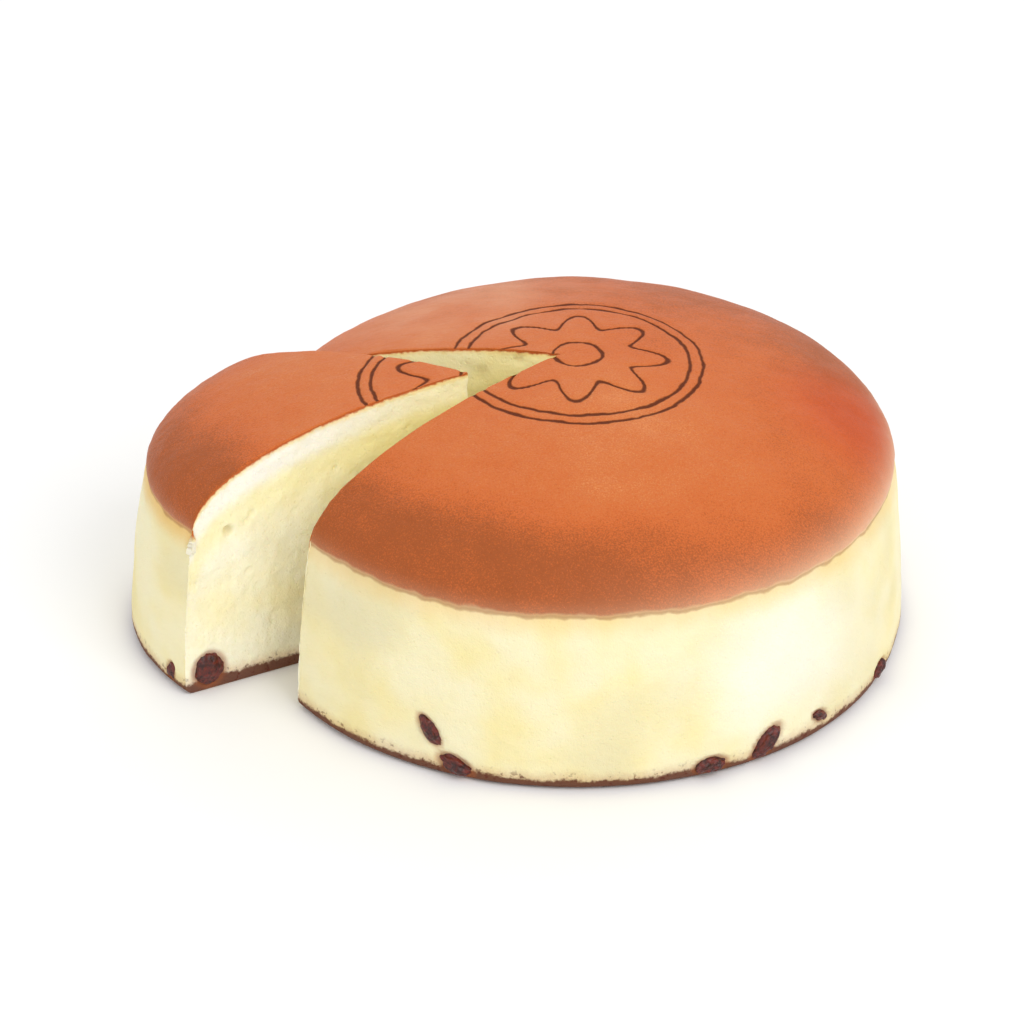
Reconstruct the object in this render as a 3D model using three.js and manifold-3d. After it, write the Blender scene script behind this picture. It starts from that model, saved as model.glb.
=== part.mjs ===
// A round jiggly cheesecake with one slice drawn part-way out of its notch, and raisins baked in at its base.
// Units are millimetres and +Z is up. The origin is the centre of the round on the floor, -Y is the front.
// The round is turned as one body and a wedge is cut out of it. The wedge, settled, turned and drawn out, is
// the slice.

import * as THREE from 'three';
import { mergeVertices } from 'three/addons/utils/BufferGeometryUtils.js';
import Module from 'manifold-3d';

const wasm = await Module();
wasm.setup();

// The round
const DIAMETER = 180;
const HEIGHT = 75;
const BASE_RADIUS = DIAMETER / 2;
const CRUST_RADIUS = 0.94 * BASE_RADIUS;
const CRUST_HEIGHT = 0.635 * HEIGHT;
const BASE_EDGE = 2.5;
const SIDE_POWER = 1.6;
const DOME_POWER = 1.8;
const TURNS = 96;
const SIDE_STEPS = 7;
const DOME_STEPS = 11;
const EDGE_STEPS = 3;

// The cut: both faces start at the apex, which lies just off the centre
const APEX = new THREE.Vector2(-4.5, -0.5);
const NEAR_DIRECTION = THREE.MathUtils.degToRad(221);
const FAR_DIRECTION = THREE.MathUtils.degToRad(166);
const CUT_LENGTH = 1.8 * BASE_RADIUS;
const CUT_MARGIN = 5;

// The slice: how far its tip is drawn out, and how close it stands to the notch's far corner
const PULL = new THREE.Vector2(-23.5, -11.5);
const SEAT = 0.3;

// Freed from the round, the soft slice settles: its near face swings out, its side bulges and its near corner
// draws in
const SPREAD = THREE.MathUtils.degToRad(3);
const BULGE = 7;
const DRAWN_IN = 4.2;
const SETTLE_POWER = 3;

// The raisins
const RAISIN_GAP = 0.3;
const RAISIN_TURNS = 12;
const RAISIN_RINGS = 8;
const WRINKLE = 0.07;
const WRINKLES = 5;
const SUNK = 0.35;

const UP = new THREE.Vector3(0, 0, 1);

const skin = () => new THREE.MeshStandardMaterial({ color: 0xd0743f, roughness: 0.45, metalness: 0 });
const raisinSkin = () => new THREE.MeshStandardMaterial({ color: 0x4a1f17, roughness: 0.5, metalness: 0 });

// Solids to and from the boolean kernel

function toSolid(geometry) {
  const bare = geometry.clone();
  bare.deleteAttribute('normal');
  bare.deleteAttribute('uv');
  const merged = mergeVertices(bare, 1e-4);
  const index = merged.index.array;
  const triangles = [];
  for (let i = 0; i < index.length; i += 3) {
    const [a, b, c] = [index[i], index[i + 1], index[i + 2]];
    if (a !== b && b !== c && c !== a) triangles.push(a, b, c);
  }
  const mesh = new wasm.Mesh({
    numProp: 3,
    vertProperties: new Float32Array(merged.attributes.position.array),
    triVerts: new Uint32Array(triangles),
  });
  return new wasm.Manifold(mesh);
}

function toGeometry(solid) {
  const mesh = solid.getMesh();
  const points = new Float32Array(mesh.numVert * 3);
  for (let i = 0; i < mesh.numVert; i += 1) {
    for (let k = 0; k < 3; k += 1) points[i * 3 + k] = mesh.vertProperties[i * mesh.numProp + k];
  }
  const geometry = new THREE.BufferGeometry();
  geometry.setAttribute('position', new THREE.BufferAttribute(points, 3));
  geometry.setIndex(Array.from(mesh.triVerts));
  geometry.computeVertexNormals();
  return geometry;
}

// The turned body

function sideRadius(height) {
  const share = height / CRUST_HEIGHT;
  return CRUST_RADIUS + (BASE_RADIUS - CRUST_RADIUS) * (1 - share ** SIDE_POWER);
}

function profile() {
  const points = [new THREE.Vector2(0, 0)];
  const edgeRadius = sideRadius(BASE_EDGE) - BASE_EDGE;
  for (let i = 0; i < EDGE_STEPS; i += 1) {
    const angle = (Math.PI / 2) * (i / EDGE_STEPS);
    const radius = edgeRadius + BASE_EDGE * Math.sin(angle);
    points.push(new THREE.Vector2(radius, BASE_EDGE * (1 - Math.cos(angle))));
  }
  for (let i = 0; i < SIDE_STEPS; i += 1) {
    const height = THREE.MathUtils.lerp(BASE_EDGE, CRUST_HEIGHT, i / SIDE_STEPS);
    points.push(new THREE.Vector2(sideRadius(height), height));
  }
  for (let i = 0; i < DOME_STEPS; i += 1) {
    const angle = (Math.PI / 2) * (i / DOME_STEPS);
    const radius = CRUST_RADIUS * Math.cos(angle) ** (2 / DOME_POWER);
    points.push(new THREE.Vector2(radius, CRUST_HEIGHT + (HEIGHT - CRUST_HEIGHT) * Math.sin(angle)));
  }
  points.push(new THREE.Vector2(0, HEIGHT));
  return points;
}

// Baked rounds are never quite round or level: the radius and the dome swell and sink on the way round.
function makeUneven(geometry) {
  const position = geometry.attributes.position;
  for (let i = 0; i < position.count; i += 1) {
    const angle = Math.atan2(position.getY(i), position.getX(i));
    const radius = Math.hypot(position.getX(i), position.getY(i));
    const height = position.getZ(i);
    const out = 1 + 0.005 * Math.sin(2 * angle + 0.6) + 0.003 * Math.sin(5 * angle - 1);
    const above = Math.max(0, height - CRUST_HEIGHT);
    const lift = above * 0.03 * Math.sin(2 * angle - 0.9) * (radius / CRUST_RADIUS);
    position.setXYZ(i, out * radius * Math.cos(angle), out * radius * Math.sin(angle), height + lift);
  }
  return geometry;
}

function round() {
  const turned = new THREE.LatheGeometry(profile(), TURNS);
  turned.rotateX(Math.PI / 2);
  return toSolid(makeUneven(turned));
}

// The wedge, from below the floor to above the dome

const direction = (angle) => new THREE.Vector2(Math.cos(angle), Math.sin(angle));

function wedge() {
  const outline = new THREE.Shape();
  const far = APEX.clone().addScaledVector(direction(FAR_DIRECTION), CUT_LENGTH);
  const near = APEX.clone().addScaledVector(direction(NEAR_DIRECTION), CUT_LENGTH);
  outline.moveTo(APEX.x, APEX.y);
  outline.lineTo(far.x, far.y);
  outline.lineTo(near.x, near.y);
  const depth = HEIGHT + 2 * CUT_MARGIN;
  const prism = new THREE.ExtrudeGeometry(outline, { depth, bevelEnabled: false });
  prism.translate(0, 0, -CUT_MARGIN);
  return toSolid(prism);
}

// The slice swings towards the notch's far face until it stands a seat from the face's outer corner.
function sliceTurn() {
  const along = direction(FAR_DIRECTION);
  const forward = APEX.dot(along);
  const reach = Math.sqrt(forward ** 2 - APEX.lengthSq() + BASE_RADIUS ** 2) - forward;
  const corner = along.clone().multiplyScalar(reach).sub(PULL);
  return corner.angle() + Math.asin(SEAT / corner.length()) - FAR_DIRECTION;
}

// Where a point of the wedge comes to stand once the slice has settled about the apex
function settle(point) {
  const arm = new THREE.Vector2(point.x, point.y).sub(APEX);
  const turned = (arm.angle() - FAR_DIRECTION) / (NEAR_DIRECTION - FAR_DIRECTION);
  const share = THREE.MathUtils.clamp(turned, 0, 1);
  const stretch = (BULGE * Math.sin(Math.PI * share) - DRAWN_IN * share ** 2) / BASE_RADIUS;
  const outness = (Math.hypot(point.x, point.y) / BASE_RADIUS) ** SETTLE_POWER;
  arm.multiplyScalar(1 + stretch * outness).rotateAround(new THREE.Vector2(), SPREAD * share).add(APEX);
  return point.set(arm.x, arm.y, point.z);
}

function settleAll(geometry) {
  const position = geometry.attributes.position;
  const point = new THREE.Vector3();
  for (let i = 0; i < position.count; i += 1) {
    settle(point.fromBufferAttribute(position, i));
    position.setXYZ(i, point.x, point.y, point.z);
  }
  return geometry;
}

const SLICE_TURN = sliceTurn();

function sliceMove() {
  const toApex = new THREE.Matrix4().makeTranslation(-APEX.x, -APEX.y, 0);
  const turn = new THREE.Matrix4().makeRotationZ(SLICE_TURN);
  const out = new THREE.Matrix4().makeTranslation(APEX.x + PULL.x, APEX.y + PULL.y, 0);
  return out.multiply(turn).multiply(toApex);
}

// Places for raisins: a frame whose x runs along the surface, y points up and z points out of the cake

function frameAt(point, outward) {
  const along = UP.clone().cross(outward);
  return new THREE.Matrix4().makeBasis(along, UP, outward).setPosition(point);
}

function rimPoint(degrees, height) {
  const angle = THREE.MathUtils.degToRad(degrees);
  const radius = sideRadius(height);
  return new THREE.Vector3(radius * Math.cos(angle), radius * Math.sin(angle), height);
}

function onRim(degrees, height) {
  const point = rimPoint(degrees, height);
  return frameAt(point, point.clone().setZ(0).normalize());
}

function onSliceRim(degrees, height) {
  const [before, point, after] = [-1, 0, 1].map((step) => settle(rimPoint(degrees + step, height)));
  return frameAt(point, after.sub(before).cross(UP).normalize());
}

function onCut(cutDirection, distance, height, side) {
  const along = direction(cutDirection);
  const point = new THREE.Vector3(APEX.x + along.x * distance, APEX.y + along.y * distance, height);
  return frameAt(point, new THREE.Vector3(-along.y * side, along.x * side, 0));
}

// size is length along the surface, height and depth; lean tips the raisin in the plane of the surface
function raisinForm(place, size, lean, grow) {
  const geometry = new THREE.SphereGeometry(1, RAISIN_TURNS, RAISIN_RINGS);
  const position = geometry.attributes.position;
  const point = new THREE.Vector3();
  for (let i = 0; i < position.count; i += 1) {
    point.fromBufferAttribute(position, i);
    const fold = WRINKLE * Math.sin(WRINKLES * Math.atan2(point.z, point.x)) * (1 - point.y ** 2);
    const reach = grow > 0 ? 1 + WRINKLE : 1 + fold;
    position.setXYZ(
      i,
      point.x * ((size[0] / 2) * reach + grow),
      point.y * ((size[1] / 2) * reach + grow),
      point.z * ((size[2] / 2) * reach + grow),
    );
  }
  geometry.rotateZ(THREE.MathUtils.degToRad(lean));
  geometry.translate(0, 0, -SUNK * (size[2] / 2));
  return geometry.applyMatrix4(place);
}

const SLICE_MOVE = sliceMove();

const inCake = (name, place, size, lean) => ({ name, host: 'cake', place, size, lean });

function inSlice(name, place, size, lean) {
  return { name, host: 'slice', place: SLICE_MOVE.clone().multiply(place), size, lean };
}

const RAISINS = [
  inCake('raisin_front_left', onRim(-108, 3.9), [10, 5.6, 5], -22),
  inCake('raisin_front_left_upper', onRim(-112.5, 12), [10, 4.6, 4.6], -56),
  inCake('raisin_front_right', onRim(-66.5, 3.5), [8.6, 4.8, 4.6], 6),
  inCake('raisin_right_front', onRim(-56.2, 5.5), [11, 5.6, 5.2], 44),
  inCake('raisin_right', onRim(-44.5, 5.8), [6, 3.6, 3.6], -28),
  inCake('raisin_right_end', onRim(-25, 3.6), [7.5, 4.6, 4.2], 10),
  inCake('raisin_right_back', onRim(14, 5.4), [10, 6.5, 5.5], -12),
  inCake('raisin_back_right', onRim(52, 5.6), [9.5, 5.6, 5], 30),
  inCake('raisin_back', onRim(93, 3.8), [10, 5.2, 5], -5),
  inCake('raisin_back_left', onRim(131, 4.8), [9, 5.8, 5.2], 20),
  inCake('raisin_notch_near', onCut(NEAR_DIRECTION, 49, 4.9, -1), [10, 6.2, 6], 12),
  inSlice('raisin_slice_cut', onCut(NEAR_DIRECTION + SPREAD, 75.5, 5.9, 1), [10, 9, 6.6], 84),
  inSlice('raisin_slice_rim', onSliceRim(215.5, 4.4), [6, 3.8, 3.6], 80),
  inSlice('raisin_slice_far', onCut(FAR_DIRECTION, 40, 4.6, -1), [9.5, 6, 5.5], 9),
];

// The part

const pocket = (raisin) => toSolid(raisinForm(raisin.place, raisin.size, raisin.lean, RAISIN_GAP));

function withPockets(solid, host) {
  const guests = RAISINS.filter((raisin) => raisin.host === host);
  return guests.reduce((rest, raisin) => rest.subtract(pocket(raisin)), solid);
}

const whole = round();
const cut = wedge();
const group = new THREE.Group();

function addMesh(name, geometry, material) {
  const mesh = new THREE.Mesh(geometry, material);
  mesh.name = name;
  group.add(mesh);
}

const sliceSolid = toSolid(settleAll(toGeometry(whole.intersect(cut))).applyMatrix4(SLICE_MOVE));
addMesh('cake', toGeometry(withPockets(whole.subtract(cut), 'cake')), skin());
addMesh('slice', toGeometry(withPockets(sliceSolid, 'slice')), skin());
for (const raisin of RAISINS) {
  addMesh(raisin.name, raisinForm(raisin.place, raisin.size, raisin.lean, 0), raisinSkin());
}

export default group;
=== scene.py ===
"""Builds the looks of a jiggly cheesecake, its drawn-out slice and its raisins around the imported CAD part.

Lengths are millimetres while shapes are worked out, and metres in every Blender mesh. Both bodies are grids
of fine vertices in polar coordinates round the cut's apex, so the skin and the two cut faces share their
edges. Each vertex keeps its "home", the place that it had before the slice was drawn out, so that looks run
on across the cut.
"""

import math

import bmesh
import bpy
import numpy as np
from mathutils import Matrix, Vector, noise


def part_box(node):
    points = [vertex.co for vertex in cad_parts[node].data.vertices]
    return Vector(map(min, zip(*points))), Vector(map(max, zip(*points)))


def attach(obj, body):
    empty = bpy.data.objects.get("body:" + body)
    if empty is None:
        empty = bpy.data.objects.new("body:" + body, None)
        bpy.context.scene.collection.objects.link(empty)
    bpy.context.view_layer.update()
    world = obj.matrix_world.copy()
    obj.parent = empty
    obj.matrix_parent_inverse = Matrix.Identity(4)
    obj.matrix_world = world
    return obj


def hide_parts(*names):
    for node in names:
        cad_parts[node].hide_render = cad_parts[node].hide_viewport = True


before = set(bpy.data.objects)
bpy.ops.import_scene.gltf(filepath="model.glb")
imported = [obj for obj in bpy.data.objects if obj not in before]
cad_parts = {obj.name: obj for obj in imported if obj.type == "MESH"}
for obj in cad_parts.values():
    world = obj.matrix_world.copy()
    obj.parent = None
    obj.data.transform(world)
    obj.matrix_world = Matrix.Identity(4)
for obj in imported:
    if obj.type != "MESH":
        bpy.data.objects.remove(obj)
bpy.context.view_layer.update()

MM = 0.001

# The round, as in the CAD
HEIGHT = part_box("cake")[1][2] / MM
BASE_RADIUS = 90.0
CRUST_RADIUS = 0.94 * BASE_RADIUS
CRUST_HEIGHT = 0.635 * HEIGHT
BASE_EDGE = 2.5
SIDE_POWER = 1.6
DOME_POWER = 1.8

# The cut and the slice
APEX = np.array([-4.5, -0.5])
NEAR_DIRECTION = math.radians(221)
FAR_DIRECTION = math.radians(166)
PULL = np.array([-23.5, -11.5])
SEAT = 0.3
SPREAD = math.radians(3)
BULGE = 7.0
DRAWN_IN = 4.2
SETTLE_POWER = 3

# Rows and columns of the fine grids
CAKE_COLUMNS = 430
CAKE_DOME_ROWS = 96
CAKE_SIDE_ROWS = 56
SLICE_COLUMNS = 130
SLICE_DOME_ROWS = 150
SLICE_SIDE_ROWS = 96
EDGE_ROWS = 4

# The burnt-in mark: rings and a scalloped flower round the middle of the top
RING_RADII = (33.0, 29.6)
FLOWER_RADIUS = 19.5
FLOWER_DEPTH = 4.2
FLOWER_LOBES = 8
# True distance to the flower's slanting line, as a share of the distance along a ray from the middle
FLOWER_SLANT = 0.7
EYE_RADIUS = 6.5
LINE = 0.62
MARK_DEPTH = 0.35

# How far a raisin's middle lies under the surface, as a share of half its depth
SUNK = 0.35
# How far the stain round a raisin reaches, as a share of the raisin's half sizes
STAIN_REACH = 0.34


def smooth(low, high, value):
    """0 at low, 1 at high and a soft step between."""
    share = np.clip((value - low) / (high - low), 0.0, 1.0)
    return share * share * (3.0 - 2.0 * share)


def colour(red, green, blue):
    """A linear colour with alpha, from the 0-255 values that a screen shows."""
    parts = [value / 255.0 for value in (red, green, blue)]
    linear = [part / 12.92 if part <= 0.04045 else ((part + 0.055) / 1.055) ** 2.4 for part in parts]
    return (*linear, 1.0)


# ---------------------------------------------------------------- shape of the round


def side_radius(height):
    share = np.clip(height / CRUST_HEIGHT, 0.0, 1.0)
    return CRUST_RADIUS + (BASE_RADIUS - CRUST_RADIUS) * (1.0 - share**SIDE_POWER)


def dome_height(radius):
    share = np.clip(radius / CRUST_RADIUS, 0.0, 1.0)
    return CRUST_HEIGHT + (HEIGHT - CRUST_HEIGHT) * np.sqrt(1.0 - share**DOME_POWER)


def reach(direction, radius):
    """How far a ray from the apex runs to a circle round the middle."""
    forward = APEX @ direction
    return math.sqrt(forward**2 - APEX @ APEX + radius**2) - forward


def uneven(points):
    """The same swelling of the radius and the dome as in the CAD."""
    angle = np.arctan2(points[:, 1], points[:, 0])
    radius = np.hypot(points[:, 0], points[:, 1])
    out = 1 + 0.005 * np.sin(2 * angle + 0.6) + 0.003 * np.sin(5 * angle - 1)
    above = np.maximum(0.0, points[:, 2] - CRUST_HEIGHT)
    lift = 0.03 * np.sin(2 * angle - 0.9) * (radius / CRUST_RADIUS)
    swollen = out * radius
    return np.column_stack([swollen * np.cos(angle), swollen * np.sin(angle), points[:, 2] + above * lift])


def slice_matrix():
    """Swings the slice about its tip until it stands a seat from the notch's far corner, as in the CAD."""
    along = np.array([math.cos(FAR_DIRECTION), math.sin(FAR_DIRECTION)])
    corner = along * reach(along, BASE_RADIUS) - PULL
    turn = math.atan2(corner[1], corner[0]) + math.asin(SEAT / np.linalg.norm(corner)) - FAR_DIRECTION
    tip = APEX + PULL
    back = Matrix.Translation((-APEX[0], -APEX[1], 0.0))
    return Matrix.Translation((tip[0], tip[1], 0.0)) @ Matrix.Rotation(turn, 4, "Z") @ back


def settle(points):
    """Where points of the wedge stand once the freed slice has spread about the apex, as in the CAD."""
    arms = points[:, :2] - APEX
    angle = np.arctan2(arms[:, 1], arms[:, 0]) % (2 * math.pi)
    share = np.clip((angle - FAR_DIRECTION) / (NEAR_DIRECTION - FAR_DIRECTION), 0.0, 1.0)
    stretch = (BULGE * np.sin(math.pi * share) - DRAWN_IN * share**2) / BASE_RADIUS
    outness = (np.hypot(points[:, 0], points[:, 1]) / BASE_RADIUS) ** SETTLE_POWER
    length = np.hypot(arms[:, 0], arms[:, 1]) * (1 + stretch * outness)
    turned = angle + SPREAD * share
    x = APEX[0] + length * np.cos(turned)
    y = APEX[1] + length * np.sin(turned)
    return np.column_stack([x, y, points[:, 2]])


SLICE_MATRIX = slice_matrix()


def dome_shares(rows):
    """Shares of the way from apex to crust, closer together where the dome falls away."""
    angles = np.linspace(math.pi / 2, 0.0, rows + 1)
    return np.cos(angles) ** (2 / DOME_POWER) * (angles < math.pi / 2)


def side_levels(rows):
    """Radius and height from the crust line down the side and round the base edge."""
    heights = np.linspace(CRUST_HEIGHT, BASE_EDGE, rows - EDGE_ROWS + 1)
    edge_radius = side_radius(BASE_EDGE) - BASE_EDGE
    levels = [(side_radius(z), z) for z in heights]
    for i in range(1, EDGE_ROWS + 1):
        angle = math.pi / 2 * (1 - i / EDGE_ROWS)
        levels.append((edge_radius + BASE_EDGE * math.sin(angle), BASE_EDGE * (1 - math.cos(angle))))
    return levels


def skin_column(angle, shares, levels):
    """Points from the apex over the dome and down the side, in one direction from the apex."""
    direction = np.array([math.cos(angle), math.sin(angle)])
    crust_reach = reach(direction, CRUST_RADIUS)
    steps = np.concatenate([crust_reach * shares, [reach(direction, radius) for radius, _ in levels[1:]]])
    flat = APEX + steps[:, None] * direction
    dome = dome_height(np.hypot(flat[: len(shares), 0], flat[: len(shares), 1]))
    heights = np.concatenate([dome, [height for _, height in levels[1:]]])
    return np.column_stack([flat, heights])


def cut_patch(column, shares, levels):
    """A grid that fills the cut face between the apex's upright edge, the skin's column and the floor."""
    rows = len(shares) - 1
    top = column[: rows + 1]
    right = column[rows:]
    foot = np.array([column[0, 0], column[0, 1], 0.0])
    bottom = foot + shares[:, None] * (right[-1] - foot)
    drops = 1 - np.array([height for _, height in levels]) / CRUST_HEIGHT
    left = column[0] + drops[:, None] * (foot - column[0])
    across = shares[:, None, None]
    down = drops[None, :, None]
    edges = (1 - down) * top[:, None] + down * bottom[:, None]
    edges = edges + (1 - across) * left[None] + across * right[None]
    corners = (1 - across) * ((1 - down) * top[0] + down * bottom[0])
    corners = corners + across * ((1 - down) * top[-1] + down * bottom[-1])
    return edges - corners


class BodyGrid:
    """Vertices and faces of a sector of the round between two directions from the apex."""

    SKIN, CUT, UNDERSIDE = range(3)

    def __init__(self, start, end, columns, dome_rows, side_rows):
        self.shares = dome_shares(dome_rows)
        self.levels = side_levels(side_rows)
        self.dome_rows = dome_rows
        self.points = []
        self.faces = []
        self.kinds = []
        angles = np.linspace(start, end, columns + 1)
        skins = [skin_column(angle, self.shares, self.levels) for angle in angles]
        skin = self.add_skin(skins)
        upright = self.add_points(cut_patch(skins[0], self.shares, self.levels)[0, 1:])
        first = self.add_cut(skins[0], skin[0], upright, outward=-1)
        last = self.add_cut(skins[-1], skin[-1], upright, outward=1)
        rim = list(skin[::-1, -1])
        self.add_face(rim + list(first[-2:0:-1]) + [upright[-1]] + list(last[1:-1]), self.UNDERSIDE)

    def add_points(self, points):
        first = len(self.points)
        self.points.extend(points.tolist())
        return list(range(first, len(self.points)))

    def add_face(self, face, kind):
        self.faces.append(tuple(int(i) for i in face))
        self.kinds.append(kind)

    def add_skin(self, skins):
        apex = self.add_points(skins[0][:1])[0]
        index = np.array([[apex, *self.add_points(skin[1:])] for skin in skins])
        for i in range(len(skins) - 1):
            self.add_face((apex, index[i, 1], index[i + 1, 1]), self.SKIN)
            for j in range(1, index.shape[1] - 1):
                self.add_face((index[i, j], index[i, j + 1], index[i + 1, j + 1], index[i + 1, j]), self.SKIN)
        return index

    def add_cut(self, column, skin, upright, outward):
        patch = cut_patch(column, self.shares, self.levels)
        index = np.zeros(patch.shape[:2], dtype=int)
        index[:, 0] = skin[: self.dome_rows + 1]
        index[-1, :] = skin[self.dome_rows :]
        index[0, 1:] = upright
        for j in range(1, self.dome_rows):
            index[j, 1:] = self.add_points(patch[j, 1:])
        for j in range(index.shape[0] - 1):
            for k in range(index.shape[1] - 1):
                quad = (index[j, k], index[j + 1, k], index[j + 1, k + 1], index[j, k + 1])
                self.add_face(quad[::outward], self.CUT)
        return index[:, -1]


# ---------------------------------------------------------------- raisins, as in the CAD


def surface_frame(point, outward):
    """A frame whose x runs along the surface, y points up and z points out of the cake."""
    out = Vector(outward).normalized()
    up = Vector((0, 0, 1))
    along = up.cross(out)
    turn = Matrix((along, up, out)).transposed().to_4x4()
    return Matrix.Translation(point) @ turn


def rim_point(degrees, height):
    angle = math.radians(degrees)
    radius = float(side_radius(height))
    return (radius * math.cos(angle), radius * math.sin(angle), height)


def on_rim(degrees, height):
    point = rim_point(degrees, height)
    return surface_frame(point, (point[0], point[1], 0.0))


def on_slice_rim(degrees, height):
    before, point, after = settle(np.array([rim_point(degrees + step, height) for step in (-1, 0, 1)]))
    return surface_frame(point, Vector(after - before).cross(Vector((0, 0, 1))))


def on_cut(angle, distance, height, side):
    along = (math.cos(angle), math.sin(angle))
    point = (APEX[0] + along[0] * distance, APEX[1] + along[1] * distance, height)
    return surface_frame(point, (-along[1] * side, along[0] * side, 0.0))


# name, place before the slice is drawn out, (length, height, depth), lean, whether it sits in the slice
RAISINS = (
    ("raisin_front_left", on_rim(-108, 3.9), (10, 5.6, 5), -22, False),
    ("raisin_front_left_upper", on_rim(-112.5, 12), (10, 4.6, 4.6), -56, False),
    ("raisin_front_right", on_rim(-66.5, 3.5), (8.6, 4.8, 4.6), 6, False),
    ("raisin_right_front", on_rim(-56.2, 5.5), (11, 5.6, 5.2), 44, False),
    ("raisin_right", on_rim(-44.5, 5.8), (6, 3.6, 3.6), -28, False),
    ("raisin_right_end", on_rim(-25, 3.6), (7.5, 4.6, 4.2), 10, False),
    ("raisin_right_back", on_rim(14, 5.4), (10, 6.5, 5.5), -12, False),
    ("raisin_back_right", on_rim(52, 5.6), (9.5, 5.6, 5), 30, False),
    ("raisin_back", on_rim(93, 3.8), (10, 5.2, 5), -5, False),
    ("raisin_back_left", on_rim(131, 4.8), (9, 5.8, 5.2), 20, False),
    ("raisin_notch_near", on_cut(NEAR_DIRECTION, 49, 4.9, -1), (10, 6.2, 6), 12, False),
    ("raisin_slice_cut", on_cut(NEAR_DIRECTION + SPREAD, 75.5, 5.9, 1), (10, 9, 6.6), 84, True),
    ("raisin_slice_rim", on_slice_rim(215.5, 4.4), (6, 3.8, 3.6), 80, True),
    ("raisin_slice_far", on_cut(FAR_DIRECTION, 40, 4.6, -1), (9.5, 6, 5.5), 9, True),
)


def raisin_frame(place, size, lean):
    """The raisin's own frame: its axes run along its length, height and depth."""
    inward = Matrix.Translation((0, 0, -SUNK * size[2] / 2))
    return place @ inward @ Matrix.Rotation(math.radians(lean), 4, "Z")


def raisin_nearness(points, in_slice):
    """1 at a raisin's skin and 0 a few millimetres off, for the stain and the dimple round each raisin."""
    near = np.zeros(len(points))
    for _, place, size, lean, of_slice in RAISINS:
        if of_slice != in_slice:
            continue
        inverse = np.array(raisin_frame(place, size, lean).inverted())
        local = points @ inverse[:3, :3].T + inverse[:3, 3]
        ratio = np.linalg.norm(local / (np.array(size) / 2), axis=1)
        near = np.maximum(near, 1 - smooth(1.0, 1.0 + STAIN_REACH, ratio))
    return near


# ---------------------------------------------------------------- relief


def noise_at(points, scale, octaves, offset):
    """Fractal noise at each point; scale is the size of its largest lumps in millimetres."""
    shift = Vector(offset)
    return np.array([noise.fractal(Vector(p) / scale + shift, 0.9, 2.1, octaves) for p in points])


def mark_strength(home):
    """How deeply the burnt-in mark is pressed into the top at each point."""
    radius = np.hypot(home[:, 0], home[:, 1])
    angle = np.arctan2(home[:, 1], home[:, 0])
    flower = FLOWER_RADIUS + FLOWER_DEPTH * np.cos(FLOWER_LOBES * angle)
    lines = [np.abs(radius - ring) for ring in (*RING_RADII, EYE_RADIUS)]
    lines.append(np.abs(radius - flower) * FLOWER_SLANT)
    nearest = np.minimum.reduce(lines)
    return 1 - smooth(0.4 * LINE, 2.2 * LINE, nearest)


# Patches of the look: (middle before the slice has moved, radius of the full part, radius where it ends)
RUDDY_PATCH = ((70.0, -6.0, 52.0), 6.0, 34.0)
# The hazy patch is painted sheen: a paler patch of the top at the back left
PAINTED_SHEEN_PATCH = ((-34.0, 44.0, 66.0), 10.0, 48.0)
# The white patch is a painted highlight on the side at the front right
SIDE_HIGHLIGHT_PATCH = ((52.0, -70.0, 27.0), 5.0, 34.0)
SCORCHED_CORNER = ((-68.0, -50.0, 52.0), 8.0, 38.0)

# Directions from the middle in which the rim is baked darkest and in which it is palest
DARK_RIM = math.radians(-112)
PALE_RIM = math.radians(-15)


def in_patch(home, patch):
    """1 in the middle of a patch, fading to 0 where it ends."""
    middle, full, end = patch
    return 1 - smooth(full, end, np.linalg.norm(home - np.array(middle), axis=1))


def browning(home, in_slice):
    """How dark the top is baked: most round the front rim, at the back right and at the slice's corner."""
    radius = np.hypot(home[:, 0], home[:, 1])
    angle = np.arctan2(home[:, 1], home[:, 0])
    rim = smooth(0.64 * CRUST_RADIUS, CRUST_RADIUS, radius)
    front = 0.5 + 0.5 * np.cos(angle - DARK_RIM)
    blotch = noise_at(home, 34.0, 2, (3.1, 7.7, 1.9))
    corner = in_patch(home, SCORCHED_CORNER) if in_slice else 0.0
    far = smooth(-12.0, 60.0, 0.75 * home[:, 1] + 0.5 * home[:, 0])
    baked = 0.45 + 0.16 * blotch + rim * 0.64 * front**1.5 + 0.45 * far + 0.25 * corner
    return np.clip(baked, 0.0, 1.0)


def painted_sheen(home, crust_distance):
    """Painted sheen: where the brown top is paler and duller, along the right rim, and in a patch at the back
    left.
    """
    angle = np.arctan2(home[:, 1], home[:, 0])
    right = np.clip(np.cos(angle - PALE_RIM), 0.0, 1.0) ** 2
    wide = 0.6 * right * np.exp(-((crust_distance / 7.0) ** 2))
    narrow = 0.18 * np.exp(-((crust_distance / 3.0) ** 2))
    mottle = 0.75 + 0.5 * noise_at(home, 12.0, 2, (6, 2, 8))
    return wide + narrow + 0.25 * in_patch(home, PAINTED_SHEEN_PATCH) * mottle


def beside_apex(angle, distance, height):
    """A point of a cut face, before the slice has moved."""
    return (APEX[0] + distance * math.cos(angle), APEX[1] + distance * math.sin(angle), height)


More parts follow.
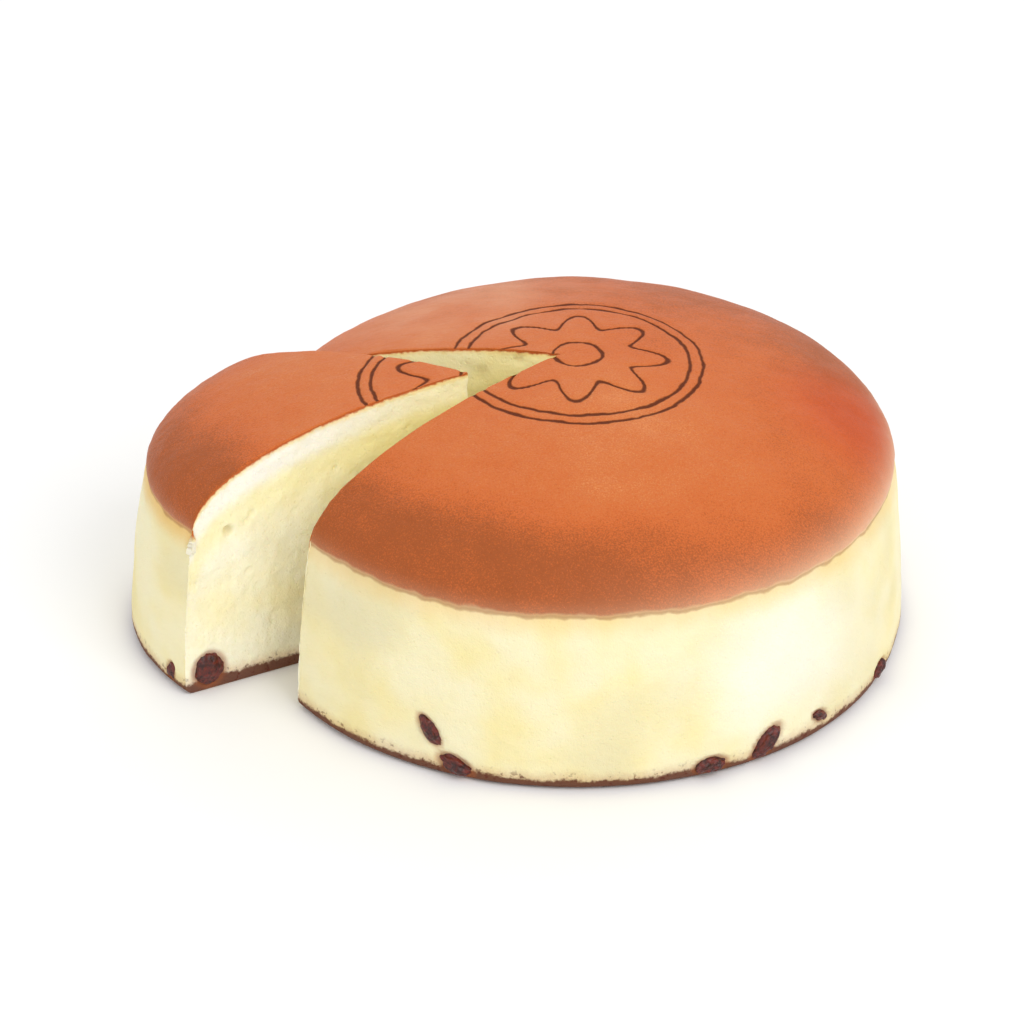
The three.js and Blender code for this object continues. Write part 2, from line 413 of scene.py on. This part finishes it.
# Where the sponge is torn or has a large pore: (place before the slice has moved, radius, depth)
SLICE_DENTS = (
    (beside_apex(NEAR_DIRECTION, 70.0, 46.0), 2.0, 1.5),
    (beside_apex(NEAR_DIRECTION, 81.4, 45.9), 1.7, 0.8),
    (beside_apex(NEAR_DIRECTION, 81.9, 43.6), 2.0, 1.1),
    (beside_apex(NEAR_DIRECTION, 31.0, 52.0), 1.4, 0.8),
    (beside_apex(FAR_DIRECTION, 52.0, 33.0), 1.6, 1.0),
)
CAKE_DENTS = (
    (beside_apex(FAR_DIRECTION, 11.5, 71.4), 1.7, 1.1),
    (beside_apex(FAR_DIRECTION, 16.0, 71.8), 1.1, 0.7),
    (beside_apex(FAR_DIRECTION, 44.0, 40.0), 1.7, 1.0),
    (beside_apex(NEAR_DIRECTION, 57.0, 28.0), 1.8, 1.1),
    (beside_apex(NEAR_DIRECTION, 30.0, 50.0), 1.4, 0.8),
)


def dents(home, places):
    """How deep each point lies in the torn places and large pores."""
    total = np.zeros(len(home))
    for place, radius, depth in places:
        distance = np.linalg.norm(home - np.array(place), axis=1)
        total += depth * (1 - smooth(0.35 * radius, radius, distance))
    return total


def skin_relief(home, crust_distance):
    """Soft dents of the whole skin, a pinched line where the brown top ends, and fine puckers above it."""
    on_top = smooth(-1.0, 3.0, crust_distance)
    swells = 0.42 * noise_at(home, 26.0, 2, (0, 0, 0)) + 0.10 * noise_at(home, 6.0, 3, (5, 1, 2))
    pinch = -0.55 * np.exp(-((crust_distance + 0.6) / 1.5) ** 2)
    puckers = noise_at(home * np.array([1.0, 1.0, 0.35]), 3.2, 2, (9, 4, 4))
    puckers = puckers * 0.10 * np.exp(-((crust_distance - 6.0) / 7.0) ** 2)
    return swells + pinch + puckers - MARK_DEPTH * mark_strength(home) * on_top


def crumb_relief(home, depth):
    """The torn, airy face that a knife leaves in soft sponge."""
    lumps = 0.34 * noise_at(home, 7.0, 3, (2, 8, 3)) + 0.16 * noise_at(home, 1.9, 2, (6, 6, 1))
    bubbles = noise_at(home, 3.4, 1, (1, 3, 9))
    pits = -0.85 * smooth(0.56, 0.72, bubbles)
    drag = 0.12 * noise_at(home * np.array([1.0, 1.0, 0.14]), 2.2, 1, (4, 2, 7))
    return (lumps + pits + drag) * smooth(0.0, 2.0, depth)


# ---------------------------------------------------------------- the two bodies

# How strongly gold runs down below the crust line, and how strongly the painted highlight shows under the
# rind
SLICE_BLUSH = 0.75
CAKE_BLUSH = 0.4
SLICE_HIGHLIGHT = 0.7
CAKE_HIGHLIGHT = 0.15

# How far from the apex the sponge is moist: (fully, not at all)
MOIST_REACH = (8.0, 55.0)

# How deep the skin dips beside a raisin, and the height over which relief sets in above the flat foot
DIMPLE = 0.5
FOOT_RISE = 2.0
SHARP_ANGLE = math.radians(50)


def write_attribute(mesh, name, values):
    kind = "FLOAT_VECTOR" if values.ndim == 2 else "FLOAT"
    attribute = mesh.attributes.new(name, kind, "POINT")
    attribute.data.foreach_set("vector" if values.ndim == 2 else "value", values.astype(np.float32).ravel())


def grid_mesh(name, grid, points):
    mesh = bpy.data.meshes.new(name)
    mesh.from_pydata((points * MM).tolist(), [], grid.faces)
    mesh.polygons.foreach_set("material_index", np.array(grid.kinds, dtype=np.int32))
    mesh.update()
    return mesh


def vertex_normals(mesh):
    normals = np.zeros(len(mesh.vertices) * 3, dtype=np.float32)
    mesh.vertex_normals.foreach_get("vector", normals)
    return normals.reshape(-1, 3)


def kinds_at_vertices(grid, count):
    """Which vertices the skin uses and which the cut faces use; those on the edge between are in both."""
    used = np.zeros((2, count), dtype=bool)
    for face, kind in zip(grid.faces, grid.kinds):
        if kind != grid.UNDERSIDE:
            used[kind, list(face)] = True
    return used


def crust_distances(home):
    """Distance along the skin from the line where the brown top ends: above it counts up, below it down."""
    above = home[:, 2] - CRUST_HEIGHT
    radius = np.hypot(home[:, 0], home[:, 1])
    inward = np.maximum(0.0, CRUST_RADIUS - radius)
    return np.where(above > 0, np.hypot(above, inward), above)


def body_relief(grid, home, crust, depth):
    """How far each vertex moves out along its normal: in the skin, the crumb and the worn edge between."""
    on_skin, on_cut_face = kinds_at_vertices(grid, len(home))
    only_skin = on_skin & ~on_cut_face
    only_cut = on_cut_face & ~on_skin
    edge = on_skin & on_cut_face
    relief = np.zeros(len(home))
    relief[only_skin] = skin_relief(home[only_skin], crust[only_skin])
    relief[only_cut] = crumb_relief(home[only_cut], depth[only_cut])
    relief[edge] = -0.30 + 0.28 * noise_at(home[edge], 2.6, 2, (8, 1, 5))
    return relief


def write_looks(mesh, home, crust, depth, near, hollow, in_slice):
    """Stores what the materials read at each vertex."""
    from_apex = np.hypot(home[:, 0] - APEX[0], home[:, 1] - APEX[1])
    looks = {
        "home": home,
        "crust": crust,
        "depth": depth,
        "brown": browning(home, in_slice),
        "stain": near,
        "hollow": hollow,
        "painted_sheen": painted_sheen(home, crust),
        "ruddy": in_patch(home, RUDDY_PATCH),
        "painted_highlight": in_patch(home, SIDE_HIGHLIGHT_PATCH),
        "blush": np.full(len(home), SLICE_BLUSH if in_slice else CAKE_BLUSH),
        "highlight_strength": np.full(len(home), SLICE_HIGHLIGHT if in_slice else CAKE_HIGHLIGHT),
        "moist": 1 - smooth(*MOIST_REACH, from_apex),
    }
    for name, values in looks.items():
        write_attribute(mesh, name, values)


def build_body(name, grid, materials, in_slice):
    even = np.array(grid.points)
    home = uneven(even)
    stood = settle(home) if in_slice else home
    mesh = grid_mesh(name, grid, stood)
    crust = crust_distances(even)
    depth = dome_height(np.hypot(even[:, 0], even[:, 1])) - even[:, 2]
    near = raisin_nearness(stood, in_slice)
    hollow = dents(home, SLICE_DENTS if in_slice else CAKE_DENTS)
    relief = body_relief(grid, home, crust, depth) - (DIMPLE * near + hollow)
    relief *= smooth(0.0, FOOT_RISE, home[:, 2])
    shaped = stood + vertex_normals(mesh) * relief[:, None]
    if in_slice:
        turn = np.array(SLICE_MATRIX)
        shaped = shaped @ turn[:3, :3].T + turn[:3, 3]
    mesh.vertices.foreach_set("co", (shaped * MM).astype(np.float32).ravel())
    write_looks(mesh, home, crust, depth, near, hollow, in_slice)
    mesh.shade_smooth()
    mesh.set_sharp_from_angle(angle=SHARP_ANGLE)
    for material in materials:
        mesh.materials.append(material)
    piece = bpy.data.objects.new(name, mesh)
    bpy.context.scene.collection.objects.link(piece)
    return piece


# ---------------------------------------------------------------- materials


class Shader:
    """A material's nodes, with short calls for what the looks share."""

    def __init__(self, name):
        self.material = bpy.data.materials.new(name)
        self.material.use_nodes = True
        self.tree = self.material.node_tree
        self.bsdf = self.tree.nodes["Principled BSDF"]

    def put(self, socket, value):
        if isinstance(value, bpy.types.NodeSocket):
            self.tree.links.new(value, socket)
        else:
            socket.default_value = value

    def math(self, operation, *values, clamp=False):
        node = self.tree.nodes.new("ShaderNodeMath")
        node.operation = operation
        node.use_clamp = clamp
        for socket, value in zip(node.inputs, values):
            self.put(socket, value)
        return node.outputs[0]

    def scaled(self, value, factor):
        return self.math("MULTIPLY", value, factor)

    def centred(self, value, spread):
        """A value that runs from 0 to 1, moved to run from minus to plus half the spread."""
        return self.math("MULTIPLY_ADD", value, spread, -spread / 2)

    def attribute(self, name, output="Fac"):
        node = self.tree.nodes.new("ShaderNodeAttribute")
        node.attribute_name = name
        return node.outputs[output]

    def parts(self, vector):
        node = self.tree.nodes.new("ShaderNodeSeparateXYZ")
        self.put(node.inputs[0], vector)
        return node.outputs

    def noise(self, vector, size, detail=2.0, roughness=0.5):
        node = self.tree.nodes.new("ShaderNodeTexNoise")
        self.put(node.inputs["Vector"], vector)
        node.inputs["Scale"].default_value = 1.0 / size
        node.inputs["Detail"].default_value = detail
        node.inputs["Roughness"].default_value = roughness
        return node.outputs["Fac"]

    def cells(self, vector, size):
        node = self.tree.nodes.new("ShaderNodeTexVoronoi")
        self.put(node.inputs["Vector"], vector)
        node.inputs["Scale"].default_value = 1.0 / size
        return node.outputs["Distance"]

    def step(self, value, low, high):
        node = self.tree.nodes.new("ShaderNodeMapRange")
        node.interpolation_type = "SMOOTHSTEP"
        self.put(node.inputs["Value"], value)
        node.inputs["From Min"].default_value = low
        node.inputs["From Max"].default_value = high
        return node.outputs["Result"]

    def fall(self, value, low, high):
        return self.math("SUBTRACT", 1.0, self.step(value, low, high))

    def band(self, value, rise, fall):
        """1 between a soft rise and a soft fall."""
        return self.math("MULTIPLY", self.step(value, *rise), self.fall(value, *fall))

    def ramp(self, value, stops):
        """Colours at rising places of a 0-1 value."""
        node = self.tree.nodes.new("ShaderNodeValToRGB")
        self.put(node.inputs["Fac"], value)
        elements = node.color_ramp.elements
        for place, _ in stops[1:-1]:
            elements.new(place)
        for element, (place, shade) in zip(elements, stops):
            element.position = place
            element.color = shade
        return node.outputs["Color"]

    def mix(self, share, first, second):
        node = self.tree.nodes.new("ShaderNodeMix")
        node.data_type = "RGBA"
        self.put(node.inputs["Factor"], share)
        colours = [socket for socket in node.inputs if socket.type == "RGBA"]
        self.put(colours[0], first)
        self.put(colours[1], second)
        return [socket for socket in node.outputs if socket.type == "RGBA"][0]

    def bump(self, height, distance, below=None):
        node = self.tree.nodes.new("ShaderNodeBump")
        node.inputs["Distance"].default_value = distance * MM
        self.put(node.inputs["Height"], height)
        if below is not None:
            self.put(node.inputs["Normal"], below)
        return node.outputs["Normal"]

    def finish(self, base, rough, normal, subsurface, gloss):
        self.put(self.bsdf.inputs["Base Color"], base)
        self.put(self.bsdf.inputs["Roughness"], rough)
        self.put(self.bsdf.inputs["Normal"], normal)
        self.bsdf.inputs["Specular IOR Level"].default_value = gloss
        self.bsdf.inputs["Subsurface Weight"].default_value = subsurface
        self.bsdf.inputs["Subsurface Radius"].default_value = (1.0, 0.62, 0.30)
        self.bsdf.inputs["Subsurface Scale"].default_value = 3.5 * MM
        return self.material


PALE_TOAST = colour(226, 146, 86)
TOAST = colour(208, 115, 58)
DEEP_TOAST = colour(206, 104, 46)
DARK_TOAST = colour(164, 84, 38)
# The colour of the painted sheen on the brown top
PAINTED_SHEEN_COLOUR = colour(240, 196, 160)
RUDDY = colour(204, 74, 24)
BURNT = colour(72, 24, 8)
GOLD = colour(238, 190, 104)
CREAM = colour(247, 238, 198)
DEEP_CREAM = colour(245, 230, 166)
DULL_CREAM = colour(226, 219, 188)
CRUMB = colour(255, 249, 222)
CRUMB_SHADE = colour(252, 240, 192)
# White for the painted highlights on the side and under the rind
HIGHLIGHT_WHITE = colour(255, 253, 244)
CRUMB_YELLOW = colour(252, 240, 176)
MOIST_CRUMB = colour(248, 234, 158)
# Painted shade in the torn places and large pores
HOLLOW_SHADE = colour(204, 186, 130)
RIND = colour(186, 92, 38)
# Painted shade in the crease along the line where the brown top ends
CREASE_SHADE = colour(150, 84, 46)
BASE_BROWN = colour(94, 39, 24)
UNDER_PALE = colour(212, 160, 96)
UNDER_TOAST = colour(176, 114, 62)
UNDER_DARK = colour(118, 66, 38)
SYRUP = colour(172, 96, 52)
RAISIN = colour(108, 34, 22)
# Painted shade in the raisin's folds
RAISIN_FOLD_SHADE = colour(52, 14, 10)
FLOOR_WHITE = colour(250, 250, 250)


# How the colours change with the baking, from pale to dark
TOP_STOPS = ((0.0, PALE_TOAST), (0.36, TOAST), (0.66, DEEP_TOAST), (1.0, DARK_TOAST))
UNDER_STOPS = ((0.25, UNDER_PALE), (0.5, UNDER_TOAST), (0.8, UNDER_DARK))

# Depths under the top at which the cut face's rind and gold end, and its painted highlight band and yellow
# band rise and fall
RIND_END = (0.35, 1.15)
GOLD_END = (0.6, 2.2)
HIGHLIGHT_BAND = ((1.0, 2.6), (5.0, 10.0))
YELLOW_BAND = ((6.0, 11.0), (12.0, 20.0))

# Heights at which the toasted line along the foot, and the glow over it, end
FOOT_LINE_END = (2.6, 3.7)
FOOT_GLOW_END = (2.4, 6.6)


def mark_mask(shader, home):
    """The burnt-in mark's lines, a little wavering, as a node output from 0 to 1."""
    waver = shader.centred(shader.noise(home, 5.0), 1.6)
    x, y, _ = shader.parts(home)
    squares = shader.math("ADD", shader.math("MULTIPLY", x, x), shader.math("MULTIPLY", y, y))
    radius = shader.math("ADD", shader.math("SQRT", squares), waver)
    angle = shader.math("ARCTAN2", y, x)
    lobes = shader.math("COSINE", shader.scaled(angle, float(FLOWER_LOBES)))
    flower = shader.math("MULTIPLY_ADD", lobes, FLOWER_DEPTH, FLOWER_RADIUS)
    from_flower = shader.math("ABSOLUTE", shader.math("SUBTRACT", radius, flower))
    nearest = shader.scaled(from_flower, FLOWER_SLANT)
    for ring in (*RING_RADII, EYE_RADIUS):
        from_ring = shader.math("ABSOLUTE", shader.math("SUBTRACT", radius, ring))
        nearest = shader.math("MINIMUM", nearest, from_ring)
    wear = shader.scaled(shader.noise(home, 9.0, 3.0), 1.1 * LINE)
    core = shader.math("SUBTRACT", nearest, shader.math("SUBTRACT", wear, 0.35 * LINE))
    return shader.fall(core, 0.1 * LINE, 0.9 * LINE)


def toast_foot(shader, home, above):
    """The dark, uneven line that the tin's floor bakes along the foot, with stray flecks over it."""
    waver = shader.centred(shader.noise(home, 9.0, 2.0), 2.6)
    fray = shader.centred(shader.noise(home, 1.3, 3.0, 0.7), 2.4)
    height = shader.parts(home)[2]
    foot = shader.math("ADD", height, shader.math("ADD", waver, fray))
    glow = shader.fall(foot, *FOOT_GLOW_END)
    base = shader.mix(shader.scaled(glow, 0.40), above, SYRUP)
    line = shader.fall(foot, *FOOT_LINE_END)
    base = shader.mix(shader.scaled(line, 0.92), base, BASE_BROWN)
    flecks = shader.step(shader.noise(home, 1.7, 2.0, 0.6), 0.60, 0.68)
    flecks = shader.math("MULTIPLY", flecks, glow)
    return shader.mix(shader.scaled(flecks, 0.8), base, BASE_BROWN)


def baked_top(shader, home, grain, patches, mark):
    """The browned top's colour, from its baking, its ruddy patch, its painted sheen and the burnt-in mark."""
    bake = shader.math("ADD", shader.attribute("brown"), shader.centred(grain, 1.2))
    bake = shader.math("ADD", bake, shader.centred(patches, 0.3))
    top = shader.ramp(bake, TOP_STOPS)
    top = shader.mix(shader.scaled(shader.attribute("ruddy"), 0.65), top, RUDDY)
    # Painted sheen: paler along the right rim, just above the crust line and at the back left
    top = shader.mix(shader.attribute("painted_sheen"), top, PAINTED_SHEEN_COLOUR)
    return shader.mix(shader.scaled(mark, 0.88), top, BURNT)


def pale_side(shader, home):
    """The side's creams: clouds, dull patches and a painted highlight, a whiter patch at the front right."""
    cloud = shader.noise(home, 22.0, 2.0)
    side = shader.mix(shader.step(cloud, 0.35, 0.7), CREAM, DEEP_CREAM)
    dull = shader.step(shader.noise(home, 46.0, 2.0), 0.5, 0.72)
    side = shader.mix(shader.scaled(dull, 0.6), side, DULL_CREAM)
    # Painted highlight: a whiter patch on the side at the front right
    return shader.mix(shader.scaled(shader.attribute("painted_highlight"), 0.55), side, HIGHLIGHT_WHITE)


def add_raisin_stain(shader, base):
    return shader.mix(shader.scaled(shader.attribute("stain"), 0.6), base, SYRUP)


# Painted shade: darker in the torn places and large pores
def add_hollow_shade(shader, base):
    return shader.mix(shader.scaled(shader.attribute("hollow"), 0.3), base, HOLLOW_SHADE)


def skin_material():
    """The satin browned top, which fades through gold into the pale side, and the dark line at its foot."""
    shader = Shader("cheesecake_skin")
    home = shader.attribute("home", "Vector")
    crust = shader.attribute("crust")
    grain = shader.noise(home, 0.42, 2.0, 0.7)
    patches = shader.noise(home, 9.0, 3.0)
    mark = mark_mask(shader, home)
    top = baked_top(shader, home, grain, patches, mark)
    side = pale_side(shader, home)
    ragged = shader.centred(shader.noise(home, 5.0, 3.0, 0.45), 2.4)
    edge = shader.math("ADD", crust, ragged)
    blush = shader.step(edge, -7.0, 0.0)
    side = shader.mix(shader.math("MULTIPLY", blush, shader.attribute("blush")), side, GOLD)
    base = shader.mix(shader.step(edge, -0.7, 1.5), side, top)
    # Painted shade: a thin dark line in the crease where the brown top ends
    crease_shade = shader.fall(shader.math("ABSOLUTE", shader.math("ADD", edge, 0.1)), 0.1, 0.8)
    base = shader.mix(shader.scaled(crease_shade, 0.45), base, CREASE_SHADE)
    base = add_hollow_shade(shader, base)
    base = toast_foot(shader, home, base)
    base = add_raisin_stain(shader, base)
    is_top = shader.step(crust, -0.5, 1.5)
    rough = shader.math("MULTIPLY_ADD", is_top, -0.18, 0.66)
    rough = shader.math("ADD", rough, shader.centred(patches, 0.2))
    rough = shader.math("ADD", rough, shader.scaled(mark, 0.3), clamp=True)
    pores = shader.fall(shader.cells(home, 1.5), 0.0, 0.34)
    normal = shader.bump(shader.math("SUBTRACT", grain, shader.scaled(pores, 0.5)), 0.16)
    normal = shader.bump(shader.noise(home, 4.0, 3.0), 0.5, normal)
    normal = shader.bump(shader.scaled(mark, -1.0), 0.3, normal)
    return shader.finish(base, rough, normal, subsurface=0.10, gloss=0.18)


def crumb_material():
    """The pale sponge of the cut faces, under a thin brown rind and over the toasted line at its foot."""
    shader = Shader("cheesecake_crumb")
    home = shader.attribute("home", "Vector")
    moist = shader.attribute("moist")
    cloud = shader.noise(home, 16.0, 3.0)
    crumb = shader.mix(shader.step(cloud, 0.3, 0.75), CRUMB, CRUMB_SHADE)
    dull = shader.step(shader.noise(home, 24.0, 2.0), 0.52, 0.75)
    crumb = shader.mix(shader.scaled(dull, 0.35), crumb, DULL_CREAM)
    bubbles = shader.fall(shader.cells(home, 1.3), 0.05, 0.36)
    # Painted shade: darker in the small pores of the crumb
    crumb = shader.mix(shader.scaled(bubbles, 0.25), crumb, CRUMB_SHADE)
    crumb = shader.mix(shader.scaled(moist, 0.6), crumb, MOIST_CRUMB)
    ragged = shader.centred(shader.noise(home, 1.6, 3.0), 1.4)
    under = shader.math("ADD", shader.attribute("depth"), ragged)
    narrowing = shader.math("MULTIPLY_ADD", moist, -0.6, 1.0)
    # Painted highlight: a whiter band just under the rind, narrower towards the apex
    painted_highlight = shader.math("MULTIPLY", shader.band(under, *HIGHLIGHT_BAND), narrowing)
    crumb = shader.mix(shader.math("MULTIPLY", painted_highlight, shader.attribute("highlight_strength")), crumb, HIGHLIGHT_WHITE)
    crumb = shader.mix(shader.scaled(shader.band(under, *YELLOW_BAND), 0.5), crumb, CRUMB_YELLOW)
    crumb = shader.mix(shader.scaled(shader.fall(under, *GOLD_END), 0.5), crumb, GOLD)
    crumb = shader.mix(shader.fall(under, *RIND_END), crumb, RIND)
    crumb = add_hollow_shade(shader, crumb)
    crumb = toast_foot(shader, home, crumb)
    crumb = add_raisin_stain(shader, crumb)
    normal = shader.bump(shader.noise(home, 0.8, 3.0, 0.65), 0.18)
    normal = shader.bump(shader.scaled(bubbles, -1.0), 0.07, normal)
    return shader.finish(crumb, 0.78, normal, subsurface=0.15, gloss=0.3)


def underside_material():
    """The toasted, slightly blistered underside."""
    shader = Shader("cheesecake_underside")
    home = shader.attribute("home", "Vector")
    base = shader.ramp(shader.noise(home, 8.0, 4.0, 0.6), UNDER_STOPS)
    normal = shader.bump(shader.noise(home, 1.5, 3.0), 0.3)
    return shader.finish(base, 0.6, normal, subsurface=0.05, gloss=0.3)


def raisin_material():
    """Dark, folded raisin skin with a low sheen."""
    shader = Shader("raisin_skin")
    home = shader.attribute("home", "Vector")
    folds = shader.noise(home, 1.4, 3.0, 0.6)
    # Painted shade: darker where the bump sinks into the folds
    base = shader.mix(shader.step(folds, 0.35, 0.65), RAISIN_FOLD_SHADE, RAISIN)
    return shader.finish(base, 0.38, shader.bump(folds, 0.35), subsurface=0.04, gloss=0.5)


# ---------------------------------------------------------------- raisin pieces

RAISIN_DETAIL = 5
FOLD_DEPTH = 0.65
HOLLOW_DEPTH = 0.5


def unit_sphere(detail):
    """Points and faces of an even ball of radius 1."""
    builder = bmesh.new()
    bmesh.ops.create_icosphere(builder, subdivisions=detail, radius=1.0)
    builder.verts.ensure_lookup_table()
    points = np.array([v.co[:] for v in builder.verts])
    faces = [[v.index for v in f.verts] for f in builder.faces]
    builder.free()
    return points, faces


def raisin_shape(size, seed):
    """A wrinkled ellipsoid in the raisin's own frame: ridged noise gives folds, and broad noise hollows."""
    points, faces = unit_sphere(RAISIN_DETAIL)
    half = np.array(size) / 2
    shift = Vector((seed * 3.7, seed * 1.3, seed * 2.9))
    shaped = []
    for point in points:
        long = Vector(point * half * (0.5, 1.2, 1.2))
        ridge = 1 - abs(noise.noise(long / 2.1 + shift)) * 2.4
        ridge += 0.3 * (1 - abs(noise.noise(long / 1.1 + shift)) * 2.4)
        inset = FOLD_DEPTH * (1 - max(0.0, min(1.4, ridge)) / 1.4)
        inset += HOLLOW_DEPTH * max(0.0, noise.noise(Vector(point * 1.1) + shift * 2.0))
        normal = Vector(point / half).normalized()
        shaped.append(Vector(point * half) - normal * inset)
    mesh = bpy.data.meshes.new("raisin")
    mesh.from_pydata([tuple(p) for p in shaped], [], faces)
    mesh.update()
    return mesh


def build_raisin(number, name, place, size, lean, in_slice, material):
    mesh = raisin_shape(size, number)
    write_attribute(mesh, "home", np.array([v.co[:] for v in mesh.vertices]))
    placing = raisin_frame(place, size, lean)
    if in_slice:
        placing = SLICE_MATRIX @ placing
    mesh.transform(Matrix.Scale(MM, 4) @ placing)
    mesh.shade_smooth()
    mesh.materials.append(material)
    piece = bpy.data.objects.new("wrinkled_" + name, mesh)
    bpy.context.scene.collection.objects.link(piece)
    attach(piece, "root")
    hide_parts(name)


# ---------------------------------------------------------------- stage

# The camera stands in front of the middle of the round, and is aimed a little towards the slice
CAMERA_ELEVATION = math.radians(31.0)
CAMERA_DISTANCE = 0.70
CAMERA_TURN = math.radians(0.6)
CAMERA_LENS = 91.0
TARGET_HEIGHT = 0.030
TARGET = (0.0, 0.0, TARGET_HEIGHT)
AIM = Vector((-0.0165, -0.0069, TARGET_HEIGHT))

FLOOR_SIZE = 8.0
FLOOR_DROP = 0.0002
WORLD_STRENGTH = 0.78

# name, place, size, power in watts and what it is aimed at; the last one lights the floor behind the cake
LIGHTS = (
    ("key", (0.50, -0.60, 0.85), 0.6, 4.3, TARGET),
    ("fill", (-0.62, -0.52, 0.62), 0.5, 0.7, TARGET),
    ("back", (-0.2, 0.8, 0.6), 0.5, 0.4, TARGET),
    ("backdrop", (0.0, 2.2, 1.6), 2.5, 14.0, (0.0, 2.4, 0.0)),
)


def facing(place, aim):
    """The turn that points a camera or a lamp at place towards aim."""
    return (Vector(aim) - Vector(place)).to_track_quat("-Z", "Y")


def add_camera():
    data = bpy.data.cameras.new("camera")
    data.lens = CAMERA_LENS
    camera = bpy.data.objects.new("camera", data)
    back = CAMERA_DISTANCE * math.cos(CAMERA_ELEVATION)
    up = CAMERA_DISTANCE * math.sin(CAMERA_ELEVATION)
    place = Vector((0.0, -back, TARGET_HEIGHT + up))
    turned = facing(place, AIM).to_matrix().to_4x4() @ Matrix.Rotation(CAMERA_TURN, 4, "Z")
    camera.matrix_world = Matrix.Translation(place) @ turned
    bpy.context.scene.collection.objects.link(camera)
    bpy.context.scene.camera = camera


def add_light(name, place, size, power, aim):
    data = bpy.data.lights.new(name, "AREA")
    data.size = size
    data.energy = power
    light = bpy.data.objects.new(name, data)
    light.location = place
    light.rotation_euler = facing(place, aim).to_euler()
    bpy.context.scene.collection.objects.link(light)


def add_floor():
    bpy.ops.mesh.primitive_plane_add(size=FLOOR_SIZE, location=(0, 0, -FLOOR_DROP))
    floor = bpy.context.object
    floor.name = "floor"
    material = bpy.data.materials.new("floor")
    material.use_nodes = True
    bsdf = material.node_tree.nodes["Principled BSDF"]
    bsdf.inputs["Base Color"].default_value = FLOOR_WHITE
    bsdf.inputs["Roughness"].default_value = 0.9
    floor.data.materials.append(material)


def add_world():
    world = bpy.data.worlds.new("studio")
    world.use_nodes = True
    background = world.node_tree.nodes["Background"]
    background.inputs["Color"].default_value = (1.0, 1.0, 1.0, 1.0)
    background.inputs["Strength"].default_value = WORLD_STRENGTH
    bpy.context.scene.world = world
    bpy.context.scene.view_settings.view_transform = "Standard"


# ---------------------------------------------------------------- the part


def add_body(name, node, grid, materials, in_slice):
    piece = build_body(name, grid, materials, in_slice)
    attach(piece, "root")
    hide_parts(node)


def main():
    add_camera()
    add_floor()
    add_world()
    for light in LIGHTS:
        add_light(*light)
    looks = (skin_material(), crumb_material(), underside_material())
    cake_end = FAR_DIRECTION + 2 * math.pi
    cake = BodyGrid(NEAR_DIRECTION, cake_end, CAKE_COLUMNS, CAKE_DOME_ROWS, CAKE_SIDE_ROWS)
    wedge = BodyGrid(FAR_DIRECTION, NEAR_DIRECTION, SLICE_COLUMNS, SLICE_DOME_ROWS, SLICE_SIDE_ROWS)
    add_body("cake_body", "cake", cake, looks, in_slice=False)
    add_body("slice_body", "slice", wedge, looks, in_slice=True)
    raisin_look = raisin_material()
    for number, (name, place, size, lean, in_slice) in enumerate(RAISINS):
        build_raisin(number, name, place, size, lean, in_slice, raisin_look)


main()
